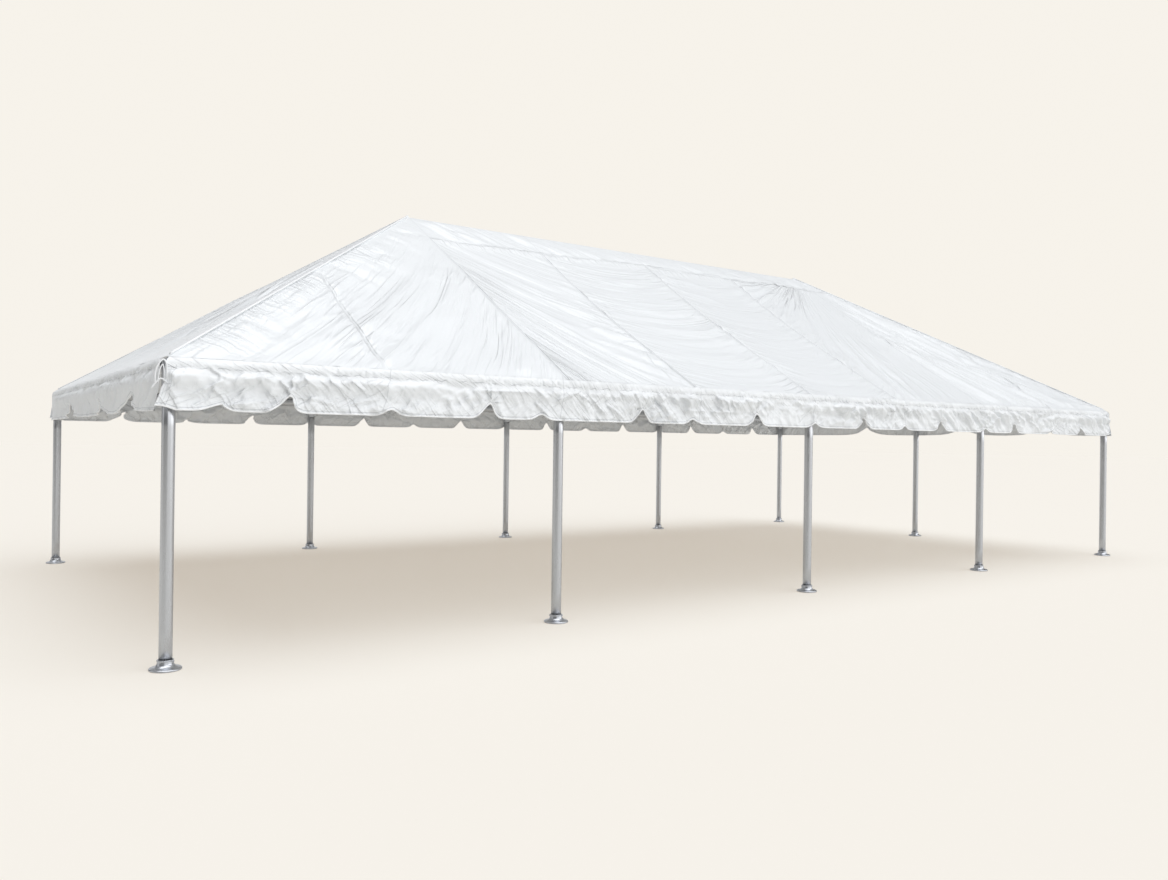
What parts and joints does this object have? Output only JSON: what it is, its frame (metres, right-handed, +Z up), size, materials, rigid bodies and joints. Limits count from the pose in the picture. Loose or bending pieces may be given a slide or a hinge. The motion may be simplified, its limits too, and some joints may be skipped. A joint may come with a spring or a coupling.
{
  "type": "frame marquee tent",
  "caption": "Open-sided marquee tent: white hip roof and scalloped valance on an aluminium tube frame, with round feet under its legs.",
  "frame": {"origin": "on the ground under the middle of the roof", "axes": "+X along the ridge towards the end that has a middle leg, +Y across the tent towards its back, +Z up"},
  "size_m": [12.3044, 6.2084, 3.9098],
  "materials": {
    "tube": "satin mill-finish aluminium tube",
    "fitting": "welded aluminium sleeves, slightly duller than the tubes",
    "foot": "cast and turned aluminium, bright",
    "cover": "coated white vinyl, satin, lightly creased",
    "valance": "coated white vinyl strip with a piped hem"
  },
  "bodies": {
    "root": {"leg_front_1": "tube", "foot_front_1": "foot", "leg_front_2": "tube", "foot_front_2": "foot", "leg_front_3": "tube", "foot_front_3": "foot", "leg_front_4": "tube", "foot_front_4": "foot", "leg_front_5": "tube", "foot_front_5": "foot", "leg_back_1": "tube", "foot_back_1": "foot", "leg_back_2": "tube", "foot_back_2": "foot", "leg_back_3": "tube", "foot_back_3": "foot", "leg_back_4": "tube", "foot_back_4": "foot", "leg_back_5": "tube", "foot_back_5": "foot", "leg_right_middle": "tube", "foot_right_middle": "foot", "eave_rail_front": "tube", "eave_rail_back": "tube", "eave_rail_left": "tube", "eave_rail_right": "tube", "corner_fitting_front_left": "fitting", "corner_fitting_front_right": "fitting", "corner_fitting_back_left": "fitting", "corner_fitting_back_right": "fitting", "rafter_front_2": "tube", "rafter_front_3": "tube", "rafter_front_4": "tube", "rafter_back_2": "tube", "rafter_back_3": "tube", "rafter_back_4": "tube", "hip_rafter_front_left": "tube", "hip_rafter_front_right": "tube", "hip_rafter_back_left": "tube", "hip_rafter_back_right": "tube", "end_rafter_left": "tube", "end_rafter_right": "tube", "ridge_beam": "tube", "crown_left": "fitting", "crown_right": "fitting", "roof_front": "cover", "roof_back": "cover", "roof_left_end": "cover", "roof_right_end": "cover", "valance_front": "valance", "valance_back": "valance", "valance_left": "valance", "valance_right": "valance"}
  },
  "joints": []
}
